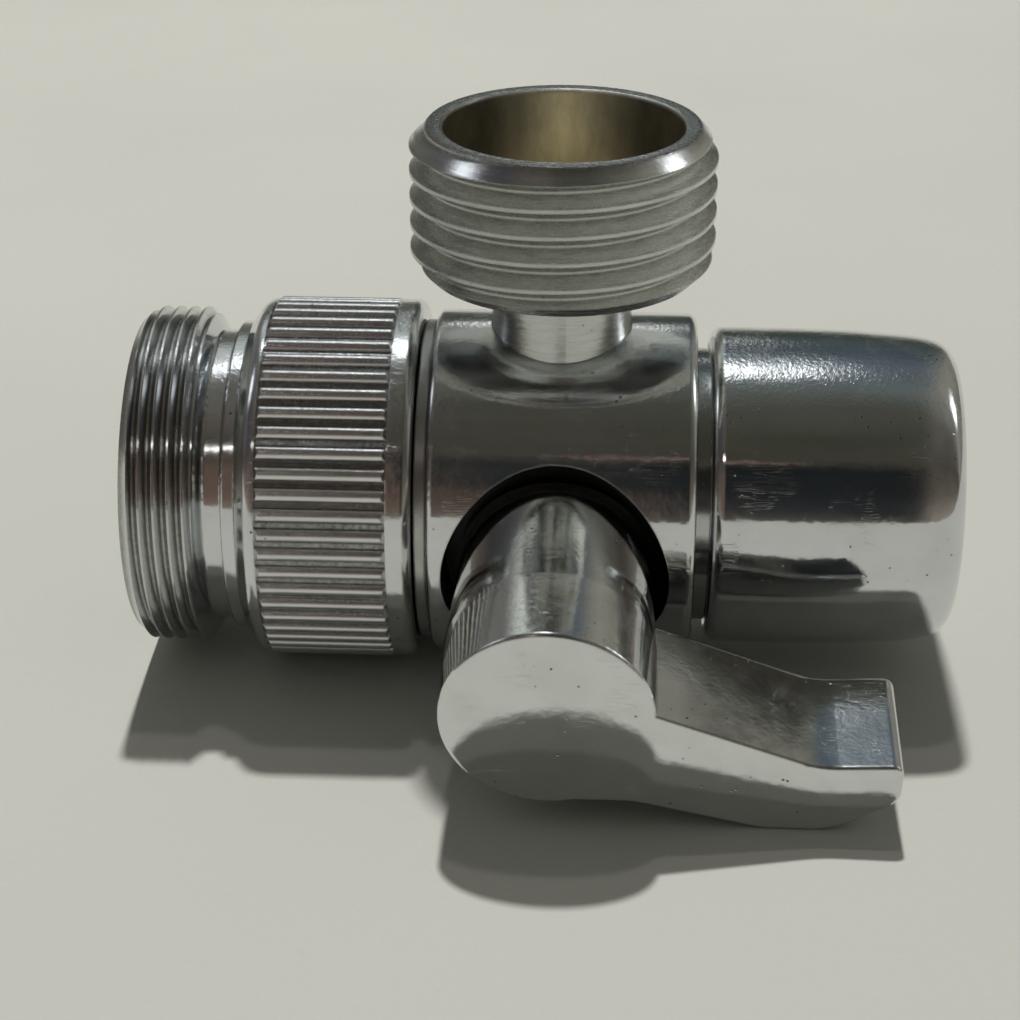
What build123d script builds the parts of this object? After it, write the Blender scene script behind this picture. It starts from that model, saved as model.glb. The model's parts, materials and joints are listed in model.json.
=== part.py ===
# Small three-way ball valve: a knurled swivel nut and threaded adapter at the inlet, an aerator at
# the outlet, a threaded side outlet and a lever handle.
#
# X is the run, from the inlet thread to the aerator.  Z is up, along the side outlet.
# The handle leaves towards -Y and leans down by HANDLE_TILT.
# Origin: on the run's axis, where the full M24 thread starts behind its lead chamfer.
# Every piece is drawn about the centre of the ball, where the run, the side outlet and the
# handle axis cross, and save() moves it by INLET_TO_CENTRE.  All lengths are in mm.
from build123d import *
from build123d.topology import SkipClean
import os
from math import sin, cos, radians, pi, sqrt, hypot

os.makedirs("parts", exist_ok=True)

# ---------------------------------------------------------------- driving dimensions
FIT_GAP = 0.03            # radial gap between pieces that fit in one another
END_GAP = 0.02            # gap between faces that meet end to end

BODY_R = 12.15
BODY_X0, BODY_X1 = -8.75, 9.45
CAVITY_R = 6.80           # ball cavity
END_BORE_R = 8.00         # M16 x 1 end bores
SEAT_STEP = 5.70          # depth where the end bores stop, each side
PLUG_R = END_BORE_R - FIT_GAP
PLUG_BORE_R = 2.90        # bore of the run seats and of the plugs behind them
PLUG_GROOVE_R = 7.10      # O-ring groove round each plug
PLUG_GROOVE = (7.50, 8.62)

BALL_R = 5.80
PORT_R = 2.60
SEAT_GAP = 0.03           # running gap between ball and seats
RUN_SEAT_IN, RUN_SEAT_R = 4.10, 6.75
SIDE_SEAT_IN, SIDE_SEAT_OUT, SIDE_SEAT_R = 4.70, 8.20, 3.95

# Stem and handle: distances are along the handle axis
HANDLE_TILT = 9.5         # deg, handle axis below the horizontal
RECESS_R = 7.75           # round recess in the body for the hub
RECESS_FLOOR = 8.90
HUB_R = 6.95
HUB_ROOT_R = 6.50
HUB_ROOT = 9.30           # where the hub starts
HUB_FACE = 26.30          # flat outer face of hub and lever
LEVER_BACK = 16.90        # face of the lever nearer the body
STEM_R = 3.00
STEM_FLANGE_R = 3.95
STEM_GROOVE_R = 2.05
STEM_GROOVES = ((7.60, 8.70), (9.40, 10.50))
STEM_SQUARE = 4.20        # width of the square that drives the handle
GLAND_R = 4.60
GLAND_BORE_R = 3.05
SCREW_HOLE_R = 2.00
SCREW_AT = 14.40

OUTLET_R = 10.42          # G 1/2 male crest
OUTLET_ROOT_R = 9.32
OUTLET_PITCH = 1.814
OUTLET_TOP, OUTLET_BOTTOM = 26.46, 16.25
OUTLET_LEAD = 1.25        # height of the chamfer at each end of the head
OUTLET_BORE_R = 8.14
OUTLET_FLOOR = 18.40
NECK_R = 4.85             # neck, and the G 1/8 shank below it
NECK_BORE_R = 2.60
NECK_GROOVE_R = 3.90
NECK_GROOVE = (8.75, 9.85)

INLET_R = 12.00           # M24 x 1 male crest
INLET_ROOT_R = 11.39
INLET_PITCH = 1.00
INLET_X0, INLET_X1 = -29.70, -25.00
INLET_LEAD = 0.85         # length of the lead chamfer
INLET_TO_CENTRE = -INLET_X0 - INLET_LEAD
WASHER_FLOOR = -28.30     # bottom of the washer seat in the inlet end
WASHER_SEAT_R = 9.95
ADAPT_NECK_X0, ADAPT_NECK_X1 = INLET_X1 + 0.85, -22.80
ADAPT_NECK_R = 10.40
ADAPT_RING_R = 11.05
ADAPT_RING_X1 = -21.80
ADAPT_BORE_R = 8.00
ADAPT_END = -15.40
COUPLING_R = 11.00        # M22 x 1 thread between adapter and nut

NUT_R = 12.85
NUT_X0, NUT_X1 = -21.75, -9.72
KNURL_X0, KNURL_X1 = -20.25, -11.40
KNURL_COUNT = 56
KNURL_DEPTH = 0.42
KNURL_FOOT = 1.00         # width of a ridge at its foot
LIP_X = -11.75            # inner face of the nut's lip
LIP_R = 8.06

SPIGOT_X0, FLANGE_X1 = -13.40, -11.80
FLANGE_R = 9.80
SPIGOT_BORE_R = 6.60

AER_R = 11.22             # aerator shell
AER_X0, AER_X1 = 10.42, 27.70
GROOVE_R = 9.70           # bottom of the groove between body and shell
AER_THREAD_R = 10.00      # M20 x 1 thread inside the shell
CONNECTOR_END = 16.20
AER_BORE_R = 9.50
AER_RIM_R = 8.60          # opening in the shell's outlet rim
AER_RIM_X = 25.60
SCREEN_R = 8.40

TILT = radians(HANDLE_TILT)
INLET = Plane(origin=(0, 0, 0), x_dir=(0, -1, 0), z_dir=(-1, 0, 0))   # local z along -X
# Local z along the handle, local y upwards
HANDLE = Plane(origin=(0, 0, 0), x_dir=(1, 0, 0), z_dir=(0, -cos(TILT), -sin(TILT)))


# ---------------------------------------------------------------- helpers
def outline(corners):
    """Closed face from (u, v) or (u, v, radius) corners; a radius rounds its corner."""
    points = [Vector(corner[0], corner[1]) for corner in corners]
    count = len(points)
    bends = []                # (start, middle, end) of each corner
    for i, corner in enumerate(points):
        if len(corners[i]) < 3:
            bends.append((corner, None, corner))
            continue
        radius = corners[i][2]
        back = (points[i - 1] - corner).normalized()
        ahead = (points[(i + 1) % count] - corner).normalized()
        cosine = back.dot(ahead)
        sin_half, cos_half = sqrt((1 - cosine) / 2), sqrt((1 + cosine) / 2)
        reach = radius * cos_half / sin_half
        middle = corner + (back + ahead).normalized() * (radius / sin_half - radius)
        bends.append((corner + back * reach, middle, corner + ahead * reach))
    edges = []
    for i, (start, middle, end) in enumerate(bends):
        if middle is not None:
            edges.append(ThreePointArc(start, middle, end))
        following = bends[(i + 1) % count][0]
        if (following - end).length > 1e-6:
            edges.append(Line(end, following))
    return Face(Wire(edges))


def chain(points):
    """Straight edges from point to point."""
    return [Line(start, end) for start, end in zip(points, points[1:])]


def turned_x(corners):
    """Solid of revolution about X from (x, radius) corners."""
    return revolve(outline(corners), axis=Axis.X)


def turned_z(corners):
    """Solid of revolution about Z from (radius, z) corners."""
    return revolve(Plane.XZ * outline(corners), axis=Axis.Z)


def rod_x(x0, x1, radius):
    return turned_x([(x0, 0), (x0, radius), (x1, radius), (x1, 0)])


def rod_z(z0, z1, radius):
    return turned_z([(0, z0), (radius, z0), (radius, z1), (0, z1)])


def washer(x0, x1, outer_r, inner_r, rounding=0.15):
    """Flat ring about X with its outer edges rounded."""
    return turned_x([(x0, inner_r), (x0, outer_r, rounding), (x1, outer_r, rounding),
                     (x1, inner_r)])


def across_x(x):
    """Plane across the run: local x along Y, local y along Z."""
    return Plane(origin=(x, 0, 0), x_dir=(0, 1, 0), z_dir=(1, 0, 0))


def middle_of(span):
    return (span[0] + span[1]) / 2


def thread_groove(pitch, z0, z1, crest_r, root_r, crest_flat, root_flat):
    """Helical cutter for an outside thread about Z."""
    cut = crest_r - root_r + 0.4          # the cutter stands 0.4 proud of the crest
    slope = (pitch - crest_flat - root_flat) / 2 / (crest_r - root_r)
    helix = Pos(0, 0, z0) * Helix(pitch=pitch, height=z1 - z0, radius=root_r)
    section = Plane(origin=helix @ 0, x_dir=(1, 0, 0), z_dir=helix % 0)
    root_half = root_flat / 2
    mouth_half = root_half + slope * cut
    face = section * Face(Wire.make_polygon(
        [(0, -root_half, 0), (cut, -mouth_half, 0), (cut, mouth_half, 0), (0, root_half, 0)],
        close=True))
    return sweep(face, path=helix, is_frenet=True)


def split_thread(piece, band, sectors):
    """The same solid, its thread band divided so each stretch of crest is a face of its own."""
    stretches = [piece & sector for sector in sectors]
    core = piece - band
    with SkipClean():
        return core.fuse(*stretches)


def save(name, shape):
    shape = Pos(INLET_TO_CENTRE, 0, 0) * shape
    shape.label = name
    export_step(shape, f"parts/{name}.step")


# ---------------------------------------------------------------- inlet adapter and swivel nut
def inlet_adapter():
    """Male M24 x 1 end, neck, small collar, male M22 x 1 end inside the nut."""
    lead_end = INLET_X0 + INLET_LEAD
    crest_end = INLET_X1 - 0.20
    coupling_r = COUPLING_R - FIT_GAP
    adapter = turned_x([
        (INLET_X0, WASHER_SEAT_R), (INLET_X0, 11.20, 0.10), (lead_end, INLET_R),
        (INLET_X1 - 0.05, INLET_R, 0.15), (ADAPT_NECK_X0, ADAPT_NECK_R, 0.3),
        (ADAPT_NECK_X1, ADAPT_NECK_R, 0.15), (ADAPT_NECK_X1, ADAPT_RING_R, 0.2),
        (ADAPT_RING_X1, ADAPT_RING_R, 0.1), (ADAPT_RING_X1, coupling_r),
        (ADAPT_END, coupling_r, 0.5), (ADAPT_END, ADAPT_BORE_R, 0.2),
        (WASHER_FLOOR, ADAPT_BORE_R), (WASHER_FLOOR, WASHER_SEAT_R)])
    adapter = adapter - INLET * thread_groove(
        INLET_PITCH, -ADAPT_NECK_X0, 31.15, INLET_R, INLET_ROOT_R,
        crest_flat=0.15, root_flat=0.18)
    band = Cylinder(13, crest_end - lead_end) - Cylinder(10.9, 20)
    band = Pos((lead_end + crest_end) / 2, 0, 0) * Rot(0, 90, 0) * band
    quarters = [band & (Rot(angle, 0, 0) * Pos(-27, 10, 10) * Box(20, 20, 20))
                for angle in (45, 135, 225, 315)]
    return Rot(180, 0, 0) * split_thread(adapter, band, quarters)


def knurl():
    """Band of rounded ridges, bevelled at both ends."""
    foot_r = NUT_R - KNURL_DEPTH
    step = 2 * pi / KNURL_COUNT
    half = KNURL_FOOT / 2 / foot_r

    def rim_point(angle, radius):
        return (radius * cos(angle), radius * sin(angle), 0)

    edges = []
    for k in range(KNURL_COUNT):
        angle = 2 * pi * k / KNURL_COUNT
        ridge_end = rim_point(angle + half, foot_r)
        edges.append(ThreePointArc(rim_point(angle - half, foot_r), rim_point(angle, NUT_R),
                                   ridge_end))
        edges.append(Line(ridge_end, rim_point(angle + step - half, foot_r)))
    ridges = extrude(Face(Wire(edges)), amount=KNURL_X1 - KNURL_X0, dir=(0, 0, 1))
    bevel_low, bevel_high, inner_r = NUT_R - 0.45, NUT_R + 0.1, 11.6
    return (across_x(KNURL_X0) * ridges) & turned_x([
        (KNURL_X0 - 0.1, inner_r), (KNURL_X0 - 0.1, bevel_low), (KNURL_X0 + 0.35, bevel_high),
        (KNURL_X1 - 0.35, bevel_high), (KNURL_X1 + 0.1, bevel_low), (KNURL_X1 + 0.1, inner_r)])


def swivel_nut():
    nut = turned_x([
        (NUT_X0, COUPLING_R + 0.02), (NUT_X0, 11.45, 0.15),
        (KNURL_X0 - 0.55, NUT_R - 0.15, 0.9), (KNURL_X0, NUT_R - 0.15),
        (KNURL_X0, NUT_R - KNURL_DEPTH), (KNURL_X1, NUT_R - KNURL_DEPTH),
        (KNURL_X1, NUT_R - 0.05), (NUT_X1, NUT_R - 0.05, 0.65), (NUT_X1, LIP_R, 0.1),
        (LIP_X, LIP_R, 0.1), (LIP_X, COUPLING_R), (NUT_X0 + 0.3, COUPLING_R)])
    return nut + knurl()


def inlet_spigot():
    """Flange held by the nut's lip, and a plug in the inlet end bore."""
    groove_in, groove_out = PLUG_GROOVE
    shank_r = LIP_R - 0.06
    plug_face = -SEAT_STEP - END_GAP
    return turned_x([
        (SPIGOT_X0, SPIGOT_BORE_R), (SPIGOT_X0, FLANGE_R, 0.2), (FLANGE_X1, FLANGE_R, 0.2),
        (FLANGE_X1, shank_r), (-groove_out, shank_r), (-groove_out, PLUG_GROOVE_R),
        (-groove_in, PLUG_GROOVE_R), (-groove_in, PLUG_R), (plug_face, PLUG_R, 0.25),
        (plug_face, PLUG_BORE_R), (-7.40, PLUG_BORE_R), (-10.60, 6.00),
        (-12.40, SPIGOT_BORE_R)])


def plug_oring(side):
    """O-ring in a plug's groove; side is -1 at the inlet, 1 at the outlet."""
    return across_x(side * middle_of(PLUG_GROOVE)) * Torus(7.55, 0.44)


# ---------------------------------------------------------------- valve body, ball and seats
def valve_body():
    body = turned_x([(BODY_X0, 0), (BODY_X0, BODY_R, 0.4), (BODY_X1, BODY_R, 0.60),
                     (BODY_X1, 0)])
    body = body - rod_x(-10, 10, CAVITY_R)
    body = body - rod_x(-10, -SEAT_STEP, END_BORE_R) - rod_x(SEAT_STEP, 10, END_BORE_R)
    body = body - rod_z(0, 20, SIDE_SEAT_R + FIT_GAP)
    body = body - rod_z(SIDE_SEAT_OUT + END_GAP, 20, NECK_R + FIT_GAP)
    hub_recess = turned_z([(0, RECESS_FLOOR), (RECESS_R, RECESS_FLOOR, 0.3), (RECESS_R, 20),
                           (0, 20)])
    body = body - HANDLE * hub_recess
    stem_bore_r, gland_bore_r = 4.05, GLAND_R + FIT_GAP
    stem_bore = turned_z([(0, 4.5), (stem_bore_r, 4.5), (stem_bore_r, 7.0),
                          (gland_bore_r, 7.0), (gland_bore_r, 12), (0, 12)])
    return body - HANDLE * stem_bore


def valve_ball():
    """Ball with a through port, a port facing down and a slot for the stem."""
    ball = Sphere(BALL_R)
    ball = ball - Rot(0, 90, 0) * Cylinder(PORT_R, 14)
    ball = ball - Pos(0, -4, 0) * Rot(90, 0, 0) * Cylinder(PORT_R, 8)
    slot_floor, slot_depth = 4.42, 4
    ball = ball - Pos(0, 0, slot_floor + slot_depth / 2) * Box(2.40, 14, slot_depth)
    return HANDLE * ball


def seat_ring(near, far, outer_r, bore_r):
    """Seat about X: flat ring whose inner face follows the ball."""
    radius = BALL_R + SEAT_GAP
    side = 1 if near > 0 else -1
    rim = Vector(near, sqrt(radius**2 - near**2))
    lip = Vector(side * sqrt(radius**2 - bore_r**2), bore_r)
    middle = (rim + lip).normalized() * radius
    flats = chain([lip, (far, bore_r), (far, outer_r), (near, outer_r), rim])
    return revolve(Face(Wire(flats + [ThreePointArc(rim, middle, lip)])), axis=Axis.X)


def run_seat(side):
    return seat_ring(side * RUN_SEAT_IN, side * SEAT_STEP, RUN_SEAT_R, PLUG_BORE_R)


def side_port_seat():
    return Rot(0, -90, 0) * seat_ring(SIDE_SEAT_IN, SIDE_SEAT_OUT, SIDE_SEAT_R, PORT_R)


# ---------------------------------------------------------------- stem, its seals and the gland
def valve_stem():
    base, flange_top, top = 5.90, 6.72, 11.20
    profile = [(0, base), (STEM_FLANGE_R, base, 0.15), (STEM_FLANGE_R, flange_top),
               (STEM_R, flange_top)]
    for z0, z1 in STEM_GROOVES:
        profile += [(STEM_R, z0), (STEM_GROOVE_R, z0), (STEM_GROOVE_R, z1), (STEM_R, z1)]
    stem = turned_z(profile + [(STEM_R, top), (0, top)])
    tang = Pos(0, 0, 5.25) * Box(2.30, 5.40, 1.50)
    stem = stem + tang
    square = Pos(0, 0, 14.2) * Box(STEM_SQUARE, STEM_SQUARE, 6.4)
    stem = stem + (square & rod_z(10.8, 17.4, 2.85))
    return HANDLE * stem


def stem_oring(groove):
    return HANDLE * Pos(0, 0, middle_of(groove)) * Torus(2.53, 0.47)


def stem_thrust_washer():
    return HANDLE * turned_z([(3.05, 6.76), (3.98, 6.76), (3.98, 7.08), (3.05, 7.08)])


def stem_gland():
    """Round gland with a hexagonal head, its outer corners bevelled."""
    base, top = 7.10, 11.0
    gland = turned_z([(GLAND_BORE_R, base), (GLAND_R, base, 0.2), (GLAND_R, 8.80),
                      (GLAND_BORE_R, 8.80)])
    head = extrude(RegularPolygon(radius=5.42, side_count=6), amount=2.08)
    head = (Pos(0, 0, 8.92) * head) & turned_z([
        (0, 8.9), (5.45, 8.9), (5.45, 10.6), (5.05, top), (0, top)])
    gland = gland + rod_z(8.7, 8.93, GLAND_R) + head
    return HANDLE * (gland - rod_z(6, 12, GLAND_BORE_R))


# ---------------------------------------------------------------- handle
# Lever seen along the handle axis: (x, y, rounding), x towards the aerator, y up
LEVER = [
    (2.50, 2.26), (17.35, -3.37, 6.0), (22.72, -3.13, 0.7), (22.62, -6.10, 1.3),
    (18.40, -8.72, 5.0), (13.90, -8.72, 6.0), (5.60, -6.70, 7.0), (1.00, -6.70), (0, -3.0)]


def round_lever(shape, level, radius):
    """Round the lever's edges at one end of its width; the root in the hub stays sharp."""
    picked = []
    for edge in shape.edges():
        box = edge.bounding_box()
        flat = abs(box.min.Z - level) < 0.01 and abs(box.max.Z - level) < 0.01
        if flat and box.max.X > 3.0:
            picked.append(edge)
    return fillet(picked, radius)


def handle():
    """Tapered round hub and a lever whose outer face is flush with the hub's."""
    hub = turned_z([(0, HUB_ROOT), (HUB_ROOT_R, HUB_ROOT, 0.3), (HUB_R, 20.0),
                    (HUB_R, HUB_FACE, 0.3), (0, HUB_FACE)])
    lever = extrude(outline(LEVER), amount=HUB_FACE - LEVER_BACK, dir=(0, 0, 1))
    lever = Pos(0, 0, LEVER_BACK) * lever
    lever = round_lever(lever, HUB_FACE, 0.25)
    lever = round_lever(lever, LEVER_BACK, 0.8)
    knob = hub + lever
    gland_recess = turned_z([(0, 9.0), (5.70, 9.0), (5.70, 11.6), (0, 11.6)])
    knob = knob - gland_recess
    socket = STEM_SQUARE + 2 * FIT_GAP
    knob = knob - Pos(0, 0, 14.5) * Box(socket, socket, 6.3)
    knob = knob - Pos(0, -5.0, SCREW_AT) * Rot(90, 0, 0) * Cylinder(SCREW_HOLE_R, 7)
    return HANDLE * knob


def handle_set_screw():
    """Screw in the underside of the hub, its hexagonal socket facing down."""
    screw = Cylinder(SCREW_HOLE_R - FIT_GAP, 4.1)
    screw = chamfer(screw.edges(), 0.25)
    socket = extrude(RegularPolygon(radius=1.15, side_count=6), amount=2)
    screw = screw - Pos(0, 0, 1.3) * socket
    return HANDLE * (Pos(0, -4.18, SCREW_AT) * Rot(90, 0, 0) * screw)


# ---------------------------------------------------------------- side outlet
def side_outlet_nipple():
    """Threaded cup on a grooved neck."""
    head = turned_z([
        (0, OUTLET_BOTTOM), (9.20, OUTLET_BOTTOM, 0.15),
        (OUTLET_R, OUTLET_BOTTOM + OUTLET_LEAD), (OUTLET_R, OUTLET_TOP - OUTLET_LEAD),
        (9.25, OUTLET_TOP, 0.12), (OUTLET_BORE_R, OUTLET_TOP, 0.25),
        (OUTLET_BORE_R, OUTLET_FLOOR, 0.8), (0, OUTLET_FLOOR)])
    head = head - thread_groove(
        OUTLET_PITCH, 24.78 - 5 * OUTLET_PITCH, 28.6, OUTLET_R, OUTLET_ROOT_R,
        crest_flat=0.30, root_flat=0.22)
    foot = SIDE_SEAT_OUT + 2 * END_GAP
    groove_low, groove_high = NECK_GROOVE
    flare_r, shank_top = 6.2, OUTLET_BOTTOM + 0.4
    shank = turned_z([
        (0, foot), (NECK_R, foot, 0.2), (NECK_R, groove_low), (NECK_GROOVE_R, groove_low),
        (NECK_GROOVE_R, groove_high), (NECK_R, groove_high),
        (NECK_R, OUTLET_BOTTOM - 0.55, 0.6), (flare_r, OUTLET_BOTTOM),
        (flare_r, shank_top), (0, shank_top)])
    nipple = head + shank
    nipple = nipple - rod_z(6, 20, NECK_BORE_R)

    band = Cylinder(12, OUTLET_TOP - OUTLET_BOTTOM - 2 * OUTLET_LEAD) - Cylinder(8.80, 20)
    band = Pos(0, 0, (OUTLET_BOTTOM + OUTLET_TOP) / 2) * band

    def quadrant(angle):
        return Rot(0, 0, angle) * Pos(10, 10, 20) * Box(20, 20, 40)

    eighths = [band & quadrant(22.5 + 45 * k) & quadrant(67.5 + 45 * k) for k in range(8)]
    return Rot(0, 0, -85) * split_thread(nipple, band, eighths)


def nipple_oring():
    return Pos(0, 0, middle_of(NECK_GROOVE)) * Torus(4.38, 0.46)


# ---------------------------------------------------------------- outlet connector and aerator
def outlet_connector():
    """Plug in the outlet end bore, and the thread that carries the aerator shell."""
    groove_in, groove_out = PLUG_GROOVE
    plug_face, body_face = SEAT_STEP + END_GAP, BODY_X1 + END_GAP
    thread_r = AER_THREAD_R - FIT_GAP
    return turned_x([
        (plug_face, PLUG_BORE_R), (plug_face, PLUG_R, 0.25), (groove_in, PLUG_R),
        (groove_in, PLUG_GROOVE_R), (groove_out, PLUG_GROOVE_R), (groove_out, PLUG_R),
        (body_face, PLUG_R), (body_face, GROOVE_R), (10.55, GROOVE_R),
        (10.70, thread_r, 0.1), (CONNECTOR_END, thread_r, 0.5), (CONNECTOR_END, 6.90, 0.2),
        (12.00, 6.90), (7.60, PLUG_BORE_R)])


# Shell profile as (x, radius): rounded inlet edge, outer curve, then the inside back to the start
SHELL_EDGE = [(AER_X0, 10.32), (AER_X0 + 0.26, 10.95), (AER_X0 + 0.90, AER_R)]
SHELL_CURVE = [
    SHELL_EDGE[-1], (19.7, 11.17), (23.3, 10.98), (26.0, 10.62), (26.80, 10.30),
    (27.42, 9.65), (AER_X1, 8.80)]
SHELL_INSIDE = [
    SHELL_CURVE[-1], (AER_X1 - 0.12, AER_RIM_R), (AER_RIM_X, AER_RIM_R),
    (AER_RIM_X, AER_BORE_R), (16.80, AER_BORE_R), (16.80, AER_THREAD_R),
    (AER_X0 + 0.25, AER_THREAD_R), (AER_X0, 10.22), SHELL_EDGE[0]]


def aerator_shell():
    outside = [ThreePointArc(*SHELL_EDGE), Spline(SHELL_CURVE, tangents=[(1, 0, 0), (0.10, -1, 0)])]
    return revolve(Face(Wire(outside + chain(SHELL_INSIDE))), axis=Axis.X)


def round_hole(y, z, radius):
    return Wire.make_circle(radius, Plane(origin=(y, z, 0)))


def hex_hole(y, z, radius):
    angles = [radians(60 * k + 30) for k in range(6)]
    return Wire.make_polygon(
        [(y + radius * cos(angle), z + radius * sin(angle), 0) for angle in angles],
        close=True)


def hole_disc(x0, x1, radius, holes):
    """Flat disc across X with through holes given as wires."""
    disc = extrude(Face(Wire.make_circle(radius), holes), amount=x1 - x0, dir=(0, 0, 1))
    return across_x(x0) * disc


def hole_circle(count, circle_r, hole_r, first=0):
    """Round holes evenly spaced on a circle, the first at an angle in degrees."""
    angles = [radians(360 / count * k + first) for k in range(count)]
    return [round_hole(circle_r * cos(angle), circle_r * sin(angle), hole_r)
            for angle in angles]


def hole_grid(pitch, reach, size, hole=round_hole):
    """Triangular grid of the holes that lie wholly within reach of the axis."""
    holes = []
    count = int(reach / pitch) + 2
    for i in range(-count, count + 1):
        for j in range(-count, count + 1):
            y = pitch * (i + 0.5 * (j % 2))
            z = pitch * sqrt(3) / 2 * j
            if hypot(y, z) + size <= reach:
                holes.append(hole(y, z, size))
    return holes


def flow_restrictor():
    holes = [round_hole(0, 0, 0.65)] + hole_circle(6, 4.2, 0.65) + hole_circle(12, 6.9, 0.5, 15)
    return hole_disc(17.36, 19.36, 9.35, holes)


def aerator_housing():
    """Sleeve with a narrower nose and an inner ledge."""
    return turned_x([
        (19.38, 8.45), (19.38, 9.42, 0.1), (25.56, 9.42, 0.1), (25.56, 8.52),
        (27.30, 8.52, 0.15), (27.30, 7.95), (24.40, 7.95), (24.40, 7.20), (23.90, 7.20),
        (23.90, 7.90), (22.40, 7.90), (22.40, 8.45)])


# ---------------------------------------------------------------- all pieces, inlet to outlet
PIECES = {
    "inlet_adapter": inlet_adapter(),
    "faucet_washer": washer(INLET_X0 + 0.05, WASHER_FLOOR - END_GAP, 9.90, 7.60),
    "swivel_nut": swivel_nut(),
    "inlet_washer": washer(ADAPT_END + END_GAP, SPIGOT_X0 - 2 * END_GAP, 10.6, 6.3),
    "inlet_spigot": inlet_spigot(),
    "spigot_oring": plug_oring(-1),
    "swivel_washer": washer(-9.66, -8.78, 11.40, LIP_R, rounding=0.18),
    "valve_body": valve_body(),
    "valve_ball": valve_ball(),
    "inlet_ball_seat": run_seat(-1),
    "outlet_ball_seat": run_seat(1),
    "side_port_seat": side_port_seat(),
    "valve_stem": valve_stem(),
    "stem_oring_inner": stem_oring(STEM_GROOVES[0]),
    "stem_oring_outer": stem_oring(STEM_GROOVES[1]),
    "stem_thrust_washer": stem_thrust_washer(),
    "stem_gland": stem_gland(),
    "handle": handle(),
    "handle_set_screw": handle_set_screw(),
    "side_outlet_nipple": side_outlet_nipple(),
    "nipple_oring": nipple_oring(),
    "outlet_connector": outlet_connector(),
    "connector_oring": plug_oring(1),
    "aerator_shell": aerator_shell(),
    "aerator_washer": washer(CONNECTOR_END + END_GAP, 17.34, 9.40, 6.70),
    "flow_restrictor": flow_restrictor(),
    "aerator_housing": aerator_housing(),
    "aerator_screen_coarse": hole_disc(19.60, 19.95, SCREEN_R, hole_grid(1.75, 8.0, 0.60)),
    "aerator_screen_fine": hole_disc(21.80, 22.05, SCREEN_R, hole_grid(1.15, 8.0, 0.40)),
    "stream_straightener": hole_disc(24.42, 27.05, 7.90, hole_grid(1.62, 7.6, 0.80, hex_hole)),
}
for piece_name, piece_shape in PIECES.items():
    save(piece_name, piece_shape)
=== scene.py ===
import math

import bpy
import json
import numpy as np
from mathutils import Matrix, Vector

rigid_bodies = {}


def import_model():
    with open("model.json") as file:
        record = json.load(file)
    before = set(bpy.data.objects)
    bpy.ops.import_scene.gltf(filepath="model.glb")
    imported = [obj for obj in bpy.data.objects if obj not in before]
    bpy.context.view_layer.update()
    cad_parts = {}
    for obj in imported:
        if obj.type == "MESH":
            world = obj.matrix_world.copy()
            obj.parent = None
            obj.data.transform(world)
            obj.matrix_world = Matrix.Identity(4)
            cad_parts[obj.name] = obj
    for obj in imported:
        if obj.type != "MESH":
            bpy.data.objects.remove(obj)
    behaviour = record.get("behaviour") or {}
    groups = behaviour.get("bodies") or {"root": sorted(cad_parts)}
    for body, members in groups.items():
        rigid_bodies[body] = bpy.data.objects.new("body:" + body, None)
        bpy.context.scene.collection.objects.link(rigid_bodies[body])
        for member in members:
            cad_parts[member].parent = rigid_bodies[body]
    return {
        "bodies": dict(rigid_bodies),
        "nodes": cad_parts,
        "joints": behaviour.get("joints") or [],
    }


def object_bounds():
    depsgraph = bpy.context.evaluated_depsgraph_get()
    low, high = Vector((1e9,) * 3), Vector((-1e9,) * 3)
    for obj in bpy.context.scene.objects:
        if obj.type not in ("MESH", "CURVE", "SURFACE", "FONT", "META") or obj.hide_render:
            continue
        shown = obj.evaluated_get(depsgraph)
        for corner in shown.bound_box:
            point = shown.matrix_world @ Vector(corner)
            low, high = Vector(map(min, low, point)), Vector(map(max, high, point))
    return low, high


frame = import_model()
NODES = frame["nodes"]
BODIES = frame["bodies"]
lo0, hi0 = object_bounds()

scene = bpy.context.scene
MM = 0.001


def lin(c):
    """0-255 display colour to linear."""
    out = []
    for v in c:
        v = v / 255.0
        out.append(v / 12.92 if v <= 0.04045 else ((v + 0.055) / 1.055) ** 2.4)
    return out


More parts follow.
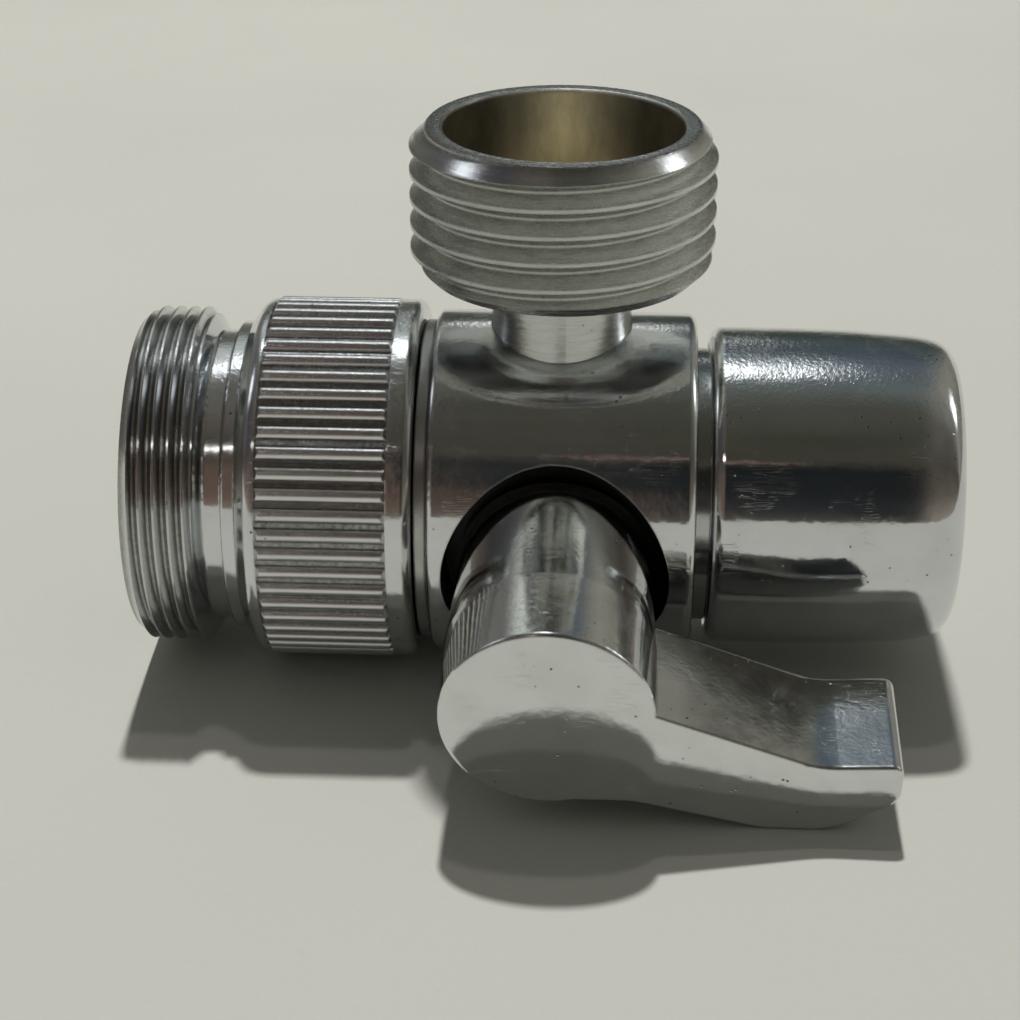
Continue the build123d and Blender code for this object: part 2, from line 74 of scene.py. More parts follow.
# ------------------------------------------------------------------ node graphs
class Graph:
    """Short names for building a shader tree."""

    def __init__(self, tree):
        self.tree = tree
        tree.nodes.clear()

    def node(self, kind, **props):
        n = self.tree.nodes.new(kind)
        for k, v in props.items():
            setattr(n, k, v)
        return n

    def put(self, socket, value):
        if isinstance(value, bpy.types.NodeSocket):
            self.tree.links.new(value, socket)
        elif value is not None:
            if socket.type == "RGBA" and len(value) == 3:
                value = list(value) + [1.0]
            socket.default_value = value

    def math(self, op, a, b=None, c=None, clamp=False):
        n = self.node("ShaderNodeMath", operation=op, use_clamp=clamp)
        for i, v in enumerate((a, b, c)):
            if v is not None:
                self.put(n.inputs[i], v)
        return n.outputs[0]

    def add(self, a, b):
        return self.math("ADD", a, b)

    def sub(self, a, b):
        return self.math("SUBTRACT", a, b)

    def mul(self, a, b):
        return self.math("MULTIPLY", a, b)

    def vec(self, op, a, b=None, scale=None):
        n = self.node("ShaderNodeVectorMath", operation=op)
        self.put(n.inputs[0], a)
        if b is not None:
            self.put(n.inputs[1], b)
        if scale is not None:
            self.put(n.inputs["Scale"], scale)
        return n.outputs["Value"] if op in ("DOT_PRODUCT", "LENGTH", "DISTANCE") else n.outputs["Vector"]

    def split(self, v):
        n = self.node("ShaderNodeSeparateXYZ")
        self.put(n.inputs[0], v)
        return n.outputs[0], n.outputs[1], n.outputs[2]

    def join(self, x, y, z):
        n = self.node("ShaderNodeCombineXYZ")
        for i, v in enumerate((x, y, z)):
            self.put(n.inputs[i], v)
        return n.outputs[0]

    def map(self, v, a, b, c=0.0, d=1.0, smooth=False):
        n = self.node("ShaderNodeMapRange", clamp=True)
        if smooth:
            n.interpolation_type = "SMOOTHSTEP"
        self.put(n.inputs["Value"], v)
        for key, w in (("From Min", a), ("From Max", b), ("To Min", c), ("To Max", d)):
            self.put(n.inputs[key], w)
        return n.outputs["Result"]

    def noise(self, v, scale, detail=2.0, rough=0.5, distortion=0.0):
        n = self.node("ShaderNodeTexNoise")
        self.put(n.inputs["Vector"], v)
        n.inputs["Scale"].default_value = scale
        n.inputs["Detail"].default_value = detail
        n.inputs["Roughness"].default_value = rough
        n.inputs["Distortion"].default_value = distortion
        return n.outputs["Fac"]

    def voronoi(self, v, scale, feature="F1"):
        n = self.node("ShaderNodeTexVoronoi", feature=feature)
        self.put(n.inputs["Vector"], v)
        n.inputs["Scale"].default_value = scale
        return n.outputs["Distance"]

    def ramp(self, v, stops, mode="LINEAR"):
        n = self.node("ShaderNodeValToRGB")
        r = n.color_ramp
        r.interpolation = mode
        while len(r.elements) < len(stops):
            r.elements.new(0.5)
        for e, (p, c) in zip(r.elements, stops):
            e.position = p
            e.color = (list(c) + [1.0]) if len(c) == 3 else c
        self.put(n.inputs[0], v)
        return n.outputs["Color"]

    def mix(self, f, a, b, mode="MIX"):
        n = self.node("ShaderNodeMix", data_type="RGBA", blend_type=mode)
        n.clamp_factor = True
        self.put(n.inputs["Factor"], f)
        self.put([s for s in n.inputs if s.name == "A" and s.type == "RGBA"][0], a)
        self.put([s for s in n.inputs if s.name == "B" and s.type == "RGBA"][0], b)
        return [s for s in n.outputs if s.type == "RGBA"][0]

    def fmix(self, f, a, b):
        n = self.node("ShaderNodeMix", data_type="FLOAT")
        self.put(n.inputs["Factor"], f)
        self.put(n.inputs[2], a)
        self.put(n.inputs[3], b)
        return n.outputs[0]

    def tint(self, colour, amount):
        """colour * amount"""
        n = self.node("ShaderNodeVectorMath", operation="SCALE")
        self.put(n.inputs[0], colour)
        self.put(n.inputs["Scale"], amount)
        return n.outputs["Vector"]


def new_material(name):
    m = bpy.data.materials.new(name)
    m.use_nodes = True
    g = Graph(m.node_tree)
    out = g.node("ShaderNodeOutputMaterial")
    bsdf = g.node("ShaderNodeBsdfPrincipled")
    g.tree.links.new(bsdf.outputs[0], out.inputs[0])
    return m, g, bsdf, out


def mm_coords(g, offset=0.0):
    """Object coordinates in millimetres: every CAD object sits at the origin, so they stay with the piece."""
    tc = g.node("ShaderNodeTexCoord")
    v = g.vec("SCALE", tc.outputs["Object"], scale=1000.0)
    if offset:
        v = g.vec("ADD", v, (offset, offset * 0.7, -offset))
    return v


def edge_mask(g, radius_mm, samples=2, gain=9.0):
    """1 on a sharp edge, from the difference between a rounded normal and the true one."""
    bev = g.node("ShaderNodeBevel", samples=samples)
    bev.inputs["Radius"].default_value = radius_mm * MM
    geo = g.node("ShaderNodeNewGeometry")
    d = g.vec("DOT_PRODUCT", bev.outputs[0], geo.outputs["Normal"])
    return g.math("MULTIPLY", g.sub(1.0, d), gain, clamp=True), bev.outputs[0]


# ------------------------------------------------------------------ chrome
OUTLET_X = 28.85
INLET_THREAD_END = 3.90
PLATE = (0.70, 0.72, 0.725)


def chrome(name, seed, rough=0.07, grain=1.0, satin=None, brass=None, dark=None, low=None, turned=None, tint=PLATE,
           round_mm=0.16, painted_top_shade=0.0, shade=None):
    """Decorative chrome: polished plate with orange peel, pin-holes, wipe scratches, water marks, dusty upper sides and
    painted highlights on the edges.
    satin, brass, dark and low are functions of (graph, x, y, z in mm) giving masks; low gives painted shade in thread
    roots and knurl grooves, dark gives painted shade in a recess."""
    m, g, bsdf, out = new_material(name)
    p = mm_coords(g)
    q = mm_coords(g, seed)
    x, y, z = g.split(p)
    tc = g.node("ShaderNodeTexCoord")
    nx, ny, nz = g.split(tc.outputs["Normal"])
    big = g.node("ShaderNodeTexNoise")
    g.put(big.inputs["Vector"], q)
    big.inputs["Scale"].default_value = 0.30
    big.inputs["Detail"].default_value = 3.0
    big.inputs["Distortion"].default_value = 0.4
    n1, n2, n3 = g.split(big.outputs["Color"])
    marks = g.map(n1, 0.44, 0.66)
    smear = g.map(n3, 0.50, 0.72)
    s1 = g.noise(g.vec("MULTIPLY", q, (0.35, 7.0, 7.0)), 1.0, 1.0, 0.5, 0.2)
    scr = g.mul(g.map(g.math("ABSOLUTE", g.sub(s1, 0.5)), 0.0, 0.010, 1.0, 0.0), g.map(n2, 0.52, 0.64))
    pit = g.mul(g.map(g.voronoi(q, 1.3), 0.06, 0.15, 1.0, 0.0), g.map(n1, 0.55, 0.60))
    # dust and fine grain on the sides that face up, where the lamp catches them
    fine = g.noise(q, 3.2, 3.0, 0.70)
    peel = g.noise(q, 0.8, 2.0, 0.5)
    upper = g.map(nz, 0.72, 0.93)
    zone = g.mul(upper, g.map(n2, 0.34, 0.60, 0.60, 1.0))
    height = g.add(g.mul(peel, 5.0), g.mul(fine, 0.25 * grain))
    height = g.add(height, g.mul(g.mul(fine, 11.0 * grain), zone))
    height = g.sub(height, g.mul(pit, 7.0))
    height = g.sub(height, g.mul(scr, 1.2))

    bev = g.node("ShaderNodeBevel", samples=2)
    bev.inputs["Radius"].default_value = round_mm * MM
    geo = g.node("ShaderNodeNewGeometry")
    edge = g.math("MULTIPLY", g.sub(1.0, g.vec("DOT_PRODUCT", bev.outputs[0], geo.outputs["Normal"])), 8.0, clamp=True)

    colour = g.mix(marks, tint, [c * 0.94 for c in tint])
    colour = g.mix(g.mul(smear, 0.30), colour, [tint[0] * 0.86, tint[1] * 0.86, tint[2] * 0.84])
    colour = g.mix(g.mul(pit, 0.85), colour, (0.10, 0.095, 0.09))
    # painted highlight: the base colour is lightened along sharp edges
    colour = g.mix(g.mul(edge, 0.35), colour, (0.86, 0.85, 0.82))
    if painted_top_shade:
        # painted shade: the upper side of the lever is darkened in blotches as a painted dark reflection
        top_shade_blotches = g.noise(q, 0.55, 3.0, 0.6)
        f = g.mul(g.map(nz, 0.45, 0.80), g.mul(g.map(x, 37.0, 39.5), g.map(x, 44.5, 46.5, 1.0, 0.15)))
        f = g.mul(f, g.map(top_shade_blotches, 0.34, 0.62, painted_top_shade, painted_top_shade * 0.45))
        colour = g.mix(f, colour, (0.16, 0.17, 0.165))
    r = g.add(rough, g.mul(marks, 0.02))
    r = g.add(r, g.mul(smear, 0.04))
    r = g.add(r, g.mul(scr, 0.08))
    r = g.add(r, g.mul(zone, 0.03))
    # painted shade: thread roots and knurl grooves are darkened where shade falls
    if low:
        f = g.mul(low(g, x, y, z), g.map(fine, 0.3, 0.6, 0.55, 1.0))
        colour = g.mix(f, colour, (0.10, 0.092, 0.082))
        r = g.add(r, g.mul(f, 0.20))
    if satin:
        f = satin(g, x, y, z)
        turn = g.noise(g.vec("MULTIPLY", q, turned or (9.0, 0.6, 0.6)), 1.0, 3.0, 0.6)
        streak = g.map(turn, 0.30, 0.70)
        r = g.fmix(f, r, g.add(0.20, g.mul(streak, 0.12)))
        colour = g.mix(g.mul(f, 0.85), colour, g.mix(streak, (0.37, 0.385, 0.36), (0.58, 0.59, 0.55)))
        height = g.add(height, g.mul(g.mul(turn, f), 5.0))
        height = g.add(height, g.mul(g.mul(fine, f), 4.0))
    # painted light and shade: the colour is scaled by the shade function
    if shade:
        colour = g.tint(colour, shade(g, x, y, z))
    if brass:
        f, tone = brass(g, x, y, z)
        ring = g.noise(g.vec("MULTIPLY", q, (1.3, 1.3, 0.5)), 1.0, 3.0, 0.6)
        colour = g.mix(f, colour, g.tint(tone, g.map(ring, 0.3, 0.7, 0.75, 1.0)))
        r = g.fmix(f, r, g.add(0.24, g.mul(ring, 0.14)))
        height = g.add(height, g.mul(g.mul(ring, f), 1.8))
        g.put(bsdf.inputs["Metallic"], g.fmix(f, 1.0, 0.62))
    else:
        bsdf.inputs["Metallic"].default_value = 1.0
    # painted shade: the masked recess is painted near-black
    if dark:
        f = dark(g, x, y, z)
        colour = g.mix(f, colour, (0.030, 0.029, 0.028))
        r = g.fmix(f, r, 0.45)
    bump = g.node("ShaderNodeBump")
    bump.inputs["Strength"].default_value = 1.0
    bump.inputs["Distance"].default_value = 0.0022 * MM
    g.put(bump.inputs["Height"], height)
    g.put(bump.inputs["Normal"], bev.outputs[0])
    g.put(bsdf.inputs["Base Color"], colour)
    g.put(bsdf.inputs["Roughness"], r)
    g.put(bsdf.inputs["Normal"], bump.outputs[0])
    return m


def radius_about_outlet(g, x, y):
    dx = g.sub(x, OUTLET_X)
    return g.math("SQRT", g.add(g.mul(dx, dx), g.mul(y, y)))


def radius_about_run(g, y, z):
    return g.math("SQRT", g.add(g.mul(y, y), g.mul(z, z)))


def outlet_satin(g, x, y, z):
    r = radius_about_outlet(g, x, y)
    thread = g.mul(g.mul(g.map(z, 16.2, 16.45), g.map(z, 25.3, 25.5, 1.0, 0.0)), g.map(r, 8.9, 9.2))
    neck = g.mul(g.map(r, 6.4, 6.0), 0.75)
    chamfer = g.mul(g.mul(g.map(z, 25.3, 25.5), g.map(z, 26.38, 26.34, 0.0, 1.0)), g.mul(g.map(r, 8.9, 9.1), 0.38))
    return g.math("MAXIMUM", thread, g.math("MAXIMUM", neck, chamfer))


# painted shade mask for the outlet thread roots
def outlet_painted_shade(g, x, y, z):
    r = radius_about_outlet(g, x, y)
    return g.mul(g.mul(g.map(z, 16.5, 17.2), g.map(r, 9.85, 9.35)), g.mul(g.map(r, 8.5, 9.0), 0.75))


def outlet_brass_and_painted_glow(g, x, y, z):
    r = radius_about_outlet(g, x, y)
    tone = g.mix(g.map(z, 18.2, 26.0), (0.50, 0.45, 0.31), (0.50, 0.48, 0.40))
    # painted highlight: the brass is brightest along the middle of the bore and darker to the sides
    tone = g.tint(tone, g.map(g.math("ABSOLUTE", g.sub(x, OUTLET_X)), 0.8, 6.0, 2.1, 0.50, True))
    return g.mul(g.map(r, 8.30, 8.20), g.map(z, 18.1, 18.35)), tone


# painted light and shade: the outlet's colour is darker to the left and lighter to the right
def outlet_shade(g, x, y, z):
    return g.map(x, 20.0, 38.0, 0.84, 1.26)


def inlet_satin(g, x, y, z):
    rr = radius_about_run(g, y, z)
    return g.mul(g.mul(g.map(x, INLET_THREAD_END, INLET_THREAD_END + 0.2, 1.0, 0.0), g.map(rr, 10.9, 11.2)), 0.30)


# painted shade mask for the inlet thread roots
def inlet_painted_shade(g, x, y, z):
    rr = radius_about_run(g, y, z)
    return g.mul(g.mul(g.map(x, INLET_THREAD_END, INLET_THREAD_END + 0.2, 1.0, 0.0), g.map(rr, 11.72, 11.42)), 0.70)


def inlet_bore(g, x, y, z):
    rr = radius_about_run(g, y, z)
    return g.map(rr, 9.8, 9.6), [0.42, 0.36, 0.22]


# painted shade mask for the knurl grooves
def knurl_painted_shade(g, x, y, z):
    rr = radius_about_run(g, y, z)
    band = g.mul(g.map(x, 8.55, 8.7), g.map(x, 17.5, 17.4))
    return g.mul(g.mul(g.map(rr, 12.66, 12.46), band), 0.80)


def recess_painted_shade(g, x, y, z):
    """The handle recess, painted near-black as painted shade: inside its own radius about the handle axis and in front
    of its floor.
    """
    dx = g.sub(x, OUTLET_X)
    c, s = math.cos(math.radians(9.5)), math.sin(math.radians(9.5))
    a = g.add(g.mul(y, -c), g.mul(z, -s))
    e2 = g.add(g.mul(y, -s), g.mul(z, c))
    rr = g.math("SQRT", g.add(g.mul(dx, dx), g.mul(e2, e2)))
    return g.mul(g.map(rr, 7.78, 7.70), g.map(a, 8.0, 8.6))


MAT = {}
MAT["adapter"] = chrome("chrome_adapter", 11.0, rough=0.085, satin=inlet_satin, low=inlet_painted_shade, brass=inlet_bore, round_mm=0.12)
MAT["nut"] = chrome("chrome_nut", 23.0, rough=0.075, grain=0.9, low=knurl_painted_shade, round_mm=0.20)
MAT["body"] = chrome("chrome_body", 37.0, rough=0.06, grain=0.7, dark=recess_painted_shade, round_mm=0.16)
MAT["outlet"] = chrome("chrome_outlet", 41.0, rough=0.10, satin=outlet_satin, low=outlet_painted_shade, brass=outlet_brass_and_painted_glow, shade=outlet_shade, turned=(0.6, 0.6, 9.0), round_mm=0.17)
MAT["handle"] = chrome("chrome_handle", 53.0, rough=0.06, grain=0.35, round_mm=0.16, painted_top_shade=0.68, tint=(0.745, 0.76, 0.75))
MAT["aerator"] = chrome("chrome_aerator", 67.0, rough=0.06, grain=1.3, round_mm=0.14)
MAT["ball"] = chrome("chrome_ball_finish", 71.0, rough=0.05, grain=0.4)
MAT["connector"] = chrome("chrome_connector", 83.0, rough=0.12, tint=(0.50, 0.52, 0.51), round_mm=0.10)


# ------------------------------------------------------------------ the other finishes
def metal(name, seed, low, high, rough, turned):
    m, g, bsdf, out = new_material(name)
    q = mm_coords(g, seed)
    ring = g.noise(g.vec("MULTIPLY", q, turned), 1.0, 4.0, 0.6)
    cloud = g.noise(q, 0.35, 3.0, 0.55)
    edge, soft_n = edge_mask(g, 0.10, 2)
    colour = g.mix(g.map(cloud, 0.3, 0.7), low, high)
    # painted highlight: the colour is lightened along sharp edges
    colour = g.mix(g.mul(edge, 0.5), colour, [min(1.0, c * 1.35) for c in high])
    g.put(bsdf.inputs["Base Color"], colour)
    bsdf.inputs["Metallic"].default_value = 1.0
    g.put(bsdf.inputs["Roughness"], g.add(rough, g.mul(ring, 0.18)))
    bump = g.node("ShaderNodeBump")
    bump.inputs["Distance"].default_value = 0.004 * MM
    g.put(bump.inputs["Height"], g.add(ring, g.mul(g.noise(q, 5.0, 2.0), 0.4)))
    g.put(bump.inputs["Normal"], soft_n)
    g.put(bsdf.inputs["Normal"], bump.outputs[0])
    return m


def soft(name, seed, low, high, rough, specular=0.4, subsurface=0.0, bump_um=6.0):
    m, g, bsdf, out = new_material(name)
    q = mm_coords(g, seed)
    cloud = g.noise(q, 0.5, 4.0, 0.6)
    speck = g.noise(q, 9.0, 2.0, 0.6)
    edge, soft_n = edge_mask(g, 0.08)
    colour = g.mix(g.map(cloud, 0.3, 0.7), low, high)
    # painted highlight: the colour is lightened along sharp edges
    colour = g.mix(g.mul(edge, 0.4), colour, [min(1.0, c * 1.5 + 0.02) for c in high])
    colour = g.mix(g.map(speck, 0.62, 0.75, 0.0, 0.35), colour, [c * 0.6 for c in low])
    g.put(bsdf.inputs["Base Color"], colour)
    g.put(bsdf.inputs["Roughness"], g.add(rough, g.mul(g.map(speck, 0.3, 0.7), 0.15)))
    bsdf.inputs["Specular IOR Level"].default_value = specular
    if subsurface:
        bsdf.inputs["Subsurface Weight"].default_value = subsurface
        bsdf.inputs["Subsurface Radius"].default_value = (0.6 * MM, 0.5 * MM, 0.45 * MM)
    bump = g.node("ShaderNodeBump")
    bump.inputs["Distance"].default_value = bump_um * 0.001 * MM
    g.put(bump.inputs["Height"], g.add(g.mul(cloud, 0.6), speck))
    g.put(bump.inputs["Normal"], soft_n)
    g.put(bsdf.inputs["Normal"], bump.outputs[0])
    return m


MAT["brass"] = metal("brass_turned", 5.0, (0.42, 0.29, 0.10), (0.60, 0.44, 0.17), 0.20, (8.0, 0.5, 0.5))
MAT["steel"] = metal("steel_turned", 15.0, (0.38, 0.38, 0.37), (0.56, 0.56, 0.55), 0.22, (0.5, 6.0, 0.5))
MAT["black_steel"] = metal("steel_black_oxide", 17.0, (0.035, 0.035, 0.038), (0.07, 0.07, 0.075), 0.38, (4.0, 4.0, 0.6))
MAT["screen"] = metal("steel_screen_finish", 19.0, (0.45, 0.45, 0.44), (0.62, 0.62, 0.60), 0.28, (0.6, 4.0, 4.0))
MAT["rubber"] = soft("rubber_moulded", 29.0, (0.012, 0.012, 0.012), (0.028, 0.027, 0.026), 0.55)
MAT["ptfe"] = soft("ptfe_turned", 31.0, (0.72, 0.71, 0.68), (0.82, 0.81, 0.79), 0.40, subsurface=0.2, bump_um=4.0)
MAT["white_plastic"] = soft("plastic_white_moulded", 33.0, (0.66, 0.66, 0.64), (0.78, 0.78, 0.76), 0.32, 0.5, 0.1)
MAT["grey_plastic"] = soft("plastic_grey_moulded", 35.0, (0.20, 0.21, 0.22), (0.30, 0.31, 0.32), 0.36, 0.5)

FINISH = {
    "inlet_adapter": "adapter",
    "swivel_nut": "nut",
    "valve_body": "body",
    "side_outlet_nipple": "outlet",
    "handle": "handle",
    "aerator_shell": "aerator",
    "outlet_connector": "connector",
    "inlet_spigot": "brass",
    "stem_gland": "brass",
    "valve_ball": "ball",
    "valve_stem": "brass",
    "handle_set_screw": "black_steel",
    "swivel_washer": "steel",
    "faucet_washer": "rubber",
    "inlet_washer": "rubber",
    "aerator_washer": "rubber",
    "spigot_oring": "rubber",
    "nipple_oring": "rubber",
    "stem_oring_inner": "rubber",
    "stem_oring_outer": "rubber",
    "connector_oring": "rubber",
    "inlet_ball_seat": "ptfe",
    "outlet_ball_seat": "ptfe",
    "side_port_seat": "ptfe",
    "stem_thrust_washer": "ptfe",
    "flow_restrictor": "white_plastic",
    "aerator_housing": "white_plastic",
    "stream_straightener": "grey_plastic",
    "aerator_screen_coarse": "screen",
    "aerator_screen_fine": "screen",
}
for name, obj in NODES.items():
    obj.data.materials.clear()
    obj.data.materials.append(MAT[FINISH[name]])

# ------------------------------------------------------------------ floor
FLOOR_Z = lo0.z - 0.00002


def floor_material():
    m, g, bsdf, out = new_material("pale_laminate")
    tc = g.node("ShaderNodeTexCoord")
    v = g.vec("SCALE", tc.outputs["Object"], scale=1000.0)
    x, y, z = g.split(v)
    cloud = g.noise(v, 0.02, 3.0, 0.5)
    grain = g.noise(v, 2.2, 3.0, 0.65)
    speck = g.noise(v, 0.6, 2.0, 0.6)
    # painted light: the floor is slightly lighter at the far left
    far = g.map(g.sub(g.mul(y, 0.8), g.mul(x, 0.6)), -60.0, 200.0)
    base = g.mix(far, FLOOR_NEAR, FLOOR_FAR)
    base = g.mix(g.map(cloud, 0.35, 0.65, 0.0, 0.25), base, [c * 0.96 for c in FLOOR_NEAR])
    base = g.mix(g.map(grain, 0.3, 0.7, 0.0, 0.10), base, [c * 0.86 for c in FLOOR_NEAR])
    base = g.mix(g.map(speck, 0.70, 0.78, 0.0, 0.12), base, [c * 0.7 for c in FLOOR_NEAR])
    g.put(bsdf.inputs["Base Color"], base)
    g.put(bsdf.inputs["Roughness"], g.add(0.62, g.mul(grain, 0.15)))
    bsdf.inputs["Specular IOR Level"].default_value = 0.25
    bump = g.node("ShaderNodeBump")
    bump.inputs["Distance"].default_value = 0.012 * MM
    g.put(bump.inputs["Height"], grain)
    g.put(bsdf.inputs["Normal"], bump.outputs[0])
    # seen from underneath the table is not there
    geo = g.node("ShaderNodeNewGeometry")
    clear = g.node("ShaderNodeBsdfTransparent")
    mixer = g.node("ShaderNodeMixShader")
    g.put(mixer.inputs[0], geo.outputs["Backfacing"])
    g.tree.links.new(bsdf.outputs[0], mixer.inputs[1])
    g.tree.links.new(clear.outputs[0], mixer.inputs[2])
    g.tree.links.new(mixer.outputs[0], out.inputs[0])
    return m


FLOOR_NEAR = [0.556, 0.560, 0.532]
FLOOR_FAR = [0.672, 0.680, 0.632]

mesh = bpy.data.meshes.new("floor")
S = 3.0
mesh.from_pydata([(-S, -S, 0), (S, -S, 0), (S, S, 0), (-S, S, 0)], [], [(0, 1, 2, 3)])
floor = bpy.data.objects.new("floor", mesh)
scene.collection.objects.link(floor)
floor.location = (0.02885, 0.0, FLOOR_Z)
mesh.materials.append(floor_material())


def lowest_points(points, axis, pivot, steps=19, limit=math.radians(90)):
    """The points that are the lowest at some angle of the lever."""
    a = np.array(axis, float)
    keep = []
    for k in range(steps):
        t = limit * k / (steps - 1)
        p = points - pivot
        r = p * math.cos(t) + np.cross(a, p) * math.sin(t) + np.outer(p @ a, a) * (1 - math.cos(t))
        i = int(np.argmin(r[:, 2]))
        if i not in keep:
            keep.append(i)
    return points[keep]


def drop_floor_with_lever():
    """The object is shown on a table. When the lever swings below it, the table goes down with the lever's lowest point."""
    joint = [j for j in frame["joints"] if j["child"] == "lever"][0]
    axis = np.array(joint["axis"], float)
    pivot = np.array(joint["pos_m"], float)
    co = np.array([v.co for v in NODES["handle"].data.vertices], float)
    low = lowest_points(co, axis, pivot)
    if len(low) > 6:
        low = low[np.linspace(0, len(low) - 1, 6).astype(int)]
    terms = ["%.5f" % FLOOR_Z]
    for p in low:
        # height of the point at turn t: c + a cos t + b sin t, with cos t = 2 w w - 1 and sin t = 2 w y / axis_y
        d = p - pivot
        along = float(d @ axis) * axis[2]
        a = d[2] - along
        b = float(np.cross(axis, d)[2])
        c = pivot[2] + along - 0.00002
        terms.append("%.5f+%.5f*w*w+%.5f*w*y" % (c - a, 2.0 * a, 2.0 * b / axis[1]))
    d = floor.driver_add("location", 2).driver
    d.type = "SCRIPTED"
    for name, channel in (("w", "ROT_W"), ("y", "ROT_Y")):
        v = d.variables.new()
        v.name = name
        v.type = "TRANSFORMS"
        v.targets[0].id = BODIES["lever"]
        v.targets[0].transform_type = channel
        v.targets[0].rotation_mode = "QUATERNION"
        v.targets[0].transform_space = "WORLD_SPACE"
    d.expression = "min(" + ",".join(terms) + ")"


drop_floor_with_lever()

# ------------------------------------------------------------------ light
world = bpy.data.worlds.new("room")
scene.world = world
world.use_nodes = True
REFLECT = 0.70


def room():
    """What the chrome sees above the table: a dim kitchen with a lamp behind and above, and soft light for everything else."""
    g = Graph(world.node_tree)
    out = g.node("ShaderNodeOutputWorld")
    tc = g.node("ShaderNodeTexCoord")
    d = tc.outputs["Generated"]
    x, y, z = g.split(d)
    deg = 180.0 / math.pi
    e = g.mul(g.math("ARCTAN2", z, g.mul(y, -1.0)), deg)
    t = g.math("DIVIDE", e, 180.0, clamp=True)
    ax = g.mul(g.math("ARCSINE", x), deg)

    def table(rows):
        top = 4.0
        return g.tint(g.ramp(t, [(a / 180.0, [v / REFLECT / top for v in lin(c)]) for a, c in rows], "LINEAR"), top)

    left = table([
        (0, (104, 97, 86)), (6, (92, 76, 68)), (18, (88, 72, 64)), (28, (84, 70, 62)), (36, (70, 63, 57)),
        (48, (65, 60, 54)), (60, (74, 69, 63)), (75, (87, 82, 77)), (88, (84, 82, 77)), (98, (92, 91, 86)),
        (108, (98, 99, 95)), (126, (122, 125, 122)), (139, (186, 190, 184)), (150, (108, 110, 106)), (158, (70, 71, 66)),
        (170, (92, 92, 86)), (180, (108, 107, 99))])
    middle = table([
        (0, (84, 78, 70)), (8, (70, 60, 54)), (17, (62, 54, 49)), (23, (36, 38, 37)), (37, (36, 38, 37)),
        (42, (60, 57, 51)), (60, (60, 59, 52)), (78, (62, 61, 55)), (93, (80, 82, 77)), (108, (82, 86, 82)),
        (126, (92, 98, 96)), (141, (96, 102, 98)), (150, (70, 76, 72)), (158, (57, 63, 58)), (170, (64, 67, 62)),
        (180, (84, 84, 78))])
    right = table([
        (0, (70, 66, 59)), (4, (50, 49, 46)), (8, (36, 38, 39)), (20, (28, 30, 31)), (37, (25, 28, 28)),
        (44, (57, 55, 48)), (58, (56, 57, 47)), (70, (61, 60, 55)), (84, (67, 66, 60)), (92, (72, 75, 70)),
        (98, (82, 87, 84)), (106, (80, 86, 87)), (116, (76, 84, 89)), (130, (72, 81, 88)), (140, (62, 71, 78)),
        (152, (65, 73, 76)), (168, (52, 58, 53)), (180, (66, 68, 63))])
    far_left = table([(0, (112, 104, 94)), (20, (84, 76, 70)), (45, (62, 57, 56)), (75, (60, 58, 62)), (110, (70, 69, 72)),
                      (140, (92, 92, 90)), (180, (96, 92, 84))])
    far_right = table([(0, (118, 112, 102)), (20, (84, 78, 70)), (45, (66, 62, 56)), (75, (84, 82, 76)), (110, (120, 118, 110)),
                       (140, (116, 114, 106)), (180, (104, 101, 92))])
    env = g.mix(g.map(ax, -6.6, -4.2, smooth=True), left, middle)
    env = g.mix(g.map(ax, -1.0, 3.0, smooth=True), env, right)
    env = g.mix(g.map(ax, -16.0, -30.0, smooth=True), env, far_left)
    env = g.mix(g.map(ax, 14.0, 30.0, smooth=True), env, far_right)
    # uneven walls
    lump = g.noise(d, 3.5, 3.0, 0.55)
    env = g.tint(env, g.map(lump, 0.3, 0.7, 0.86, 1.14))

    def blob(cx, ce, sx, se, colour, power, sharp=1.0):
        """A soft-edged lamp or opening centred at lateral angle cx and elevation ce (degrees)."""
        u = g.math("DIVIDE", g.sub(ax, cx), sx)
        v = g.math("DIVIDE", g.sub(e, ce), se)
        r2 = g.add(g.mul(u, u), g.mul(v, v))
        if sharp != 1.0:
            r2 = g.math("POWER", r2, sharp)
        f = g.math("EXPONENT", g.mul(r2, -1.0))
        return g.tint(list(colour), g.mul(f, power))

    def plus(a, b):
        return g.vec("ADD", a, b)

    env = plus(env, blob(-4.0, 119.0, 7.5, 9.0, (0.93, 1.0, 1.06), 0.80))
    env = plus(env, blob(-5.0, 116.0, 8.0, 4.5, (0.96, 1.0, 1.04), 2.4, 1.4))
    env = plus(env, blob(-3.0, 105.0, 3.0, 1.5, (1.0, 0.98, 0.94), 1.6, 2.0))
    # low window behind, seen in the flat rim of the outlet
    env = plus(env, blob(-1.2, 153.5, 2.0, 3.5, (1.0, 1.0, 0.98), 2.6, 1.5))
    # small lamp in front, to the left
    env = plus(env, blob(-13.0, 44.0, 4.0, 1.2, (1.0, 0.97, 0.92), 7.0, 1.5))
    # copper edge in front
    env = plus(env, blob(2.0, 41.2, 3.2, 1.0, (1.0, 0.62, 0.5), 0.16, 1.5))
    # lamp at the right
    env = plus(env, blob(52.0, 118.0, 9.0, 10.0, (0.96, 1.0, 1.05), 3.8, 1.6))
    env = plus(env, blob(-48.0, 100.0, 12.0, 10.0, (0.92, 0.96, 1.0), 1.8, 1.6))

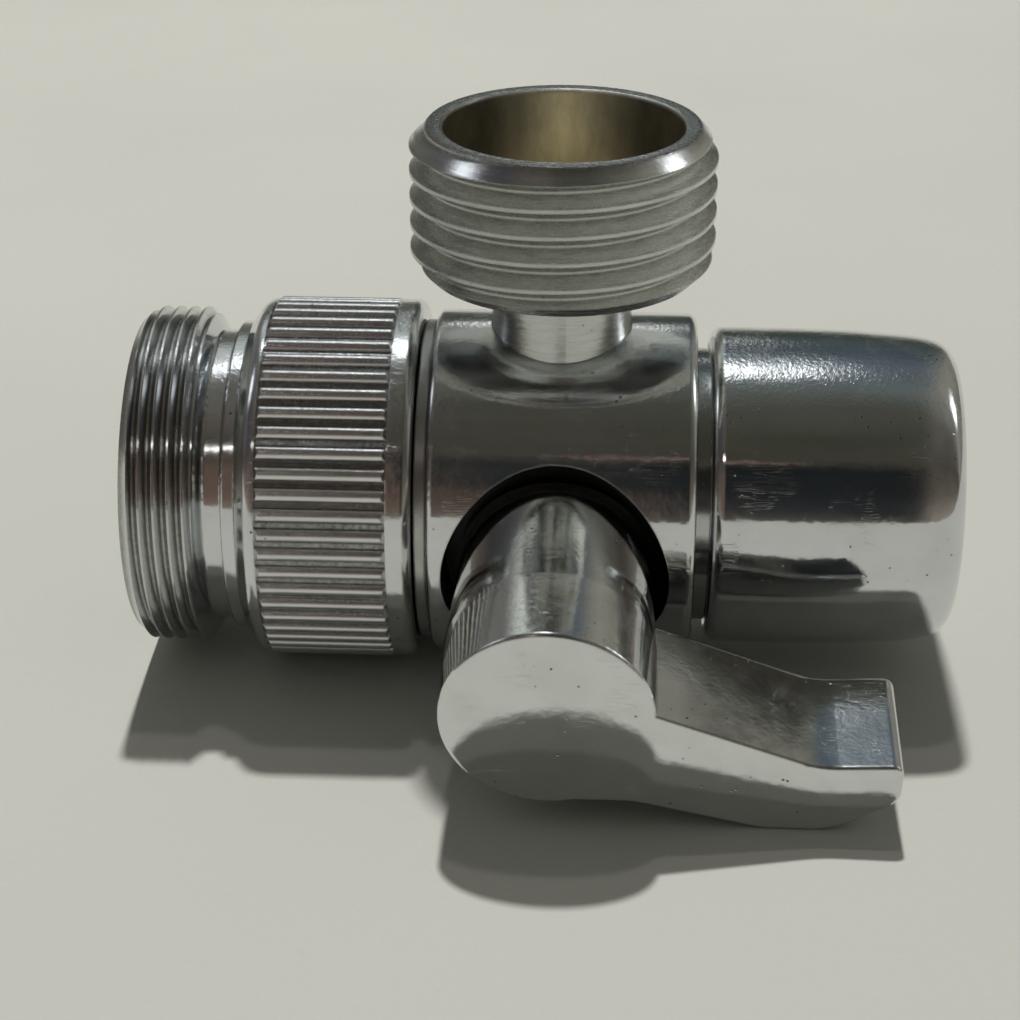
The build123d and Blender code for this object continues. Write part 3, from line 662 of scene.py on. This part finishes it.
    path = g.node("ShaderNodeLightPath")
    soft_light = g.mix(g.map(z, -0.1, 1.0), (0.150, 0.142, 0.122), (0.168, 0.168, 0.155))
    glossy = g.math("MINIMUM", path.outputs["Is Glossy Ray"], 1.0)
    first = g.math("LESS_THAN", path.outputs["Diffuse Depth"], 0.5)
    use = g.mul(glossy, first)
    colour = g.mix(use, soft_light, env)
    bg = g.node("ShaderNodeBackground")
    g.put(bg.inputs[0], colour)
    bg.inputs[1].default_value = 1.0
    g.tree.links.new(bg.outputs[0], out.inputs[0])


room()


def sun(name, above_back, lateral, strength, angle, colour, shines=False):
    """A lamp behind the object, above_back degrees above the far horizon."""
    data = bpy.data.lights.new(name, "SUN")
    data.energy = strength
    data.angle = math.radians(angle)
    data.color = colour
    o = bpy.data.objects.new(name, data)
    scene.collection.objects.link(o)
    a, b = math.radians(above_back), math.radians(lateral)
    to_lamp = Vector((math.sin(b) * math.cos(a), math.cos(b) * math.cos(a), math.sin(a)))
    o.rotation_mode = "QUATERNION"
    o.rotation_quaternion = to_lamp.to_track_quat("Z", "Y")
    o.visible_glossy = shines
    return o


sun("lamp_main", 66.0, -4.0, 2.55, 3.0, (1.0, 0.985, 0.95))
glint = sun("lamp_glint", 65.0, -5.0, 0.07, 8.0, (1.0, 1.0, 0.98), True)
glint.visible_diffuse = False
sun("lamp_second", 77.0, -2.0, 0.20, 3.0, (1.0, 0.97, 0.90))

# ------------------------------------------------------------------ camera
cam_data = bpy.data.cameras.new("camera")
cam = bpy.data.objects.new("camera", cam_data)
scene.collection.objects.link(cam)
az, el, dist = math.radians(2.90), math.radians(26.37), 0.1702
target = Vector((0.02524, 0.0, -0.00246))
back = Vector((math.sin(az) * math.cos(el), -math.cos(az) * math.cos(el), math.sin(el)))
cam.location = target + back * dist
cam.rotation_mode = "QUATERNION"
cam.rotation_quaternion = (-back).to_track_quat("-Z", "Y")
cam_data.sensor_fit = "HORIZONTAL"
cam_data.sensor_width = 36.0
cam_data.lens = 2350.84 / 1020.0 * 36.0
cam_data.clip_start = 0.005
cam_data.clip_end = 20.0
scene.camera = cam

scene.cycles.max_bounces = 7
scene.cycles.diffuse_bounces = 2
scene.cycles.glossy_bounces = 4
scene.view_settings.view_transform = "Standard"
scene.view_settings.look = "None"
scene.view_settings.exposure = 0.0
scene.view_settings.gamma = 1.0
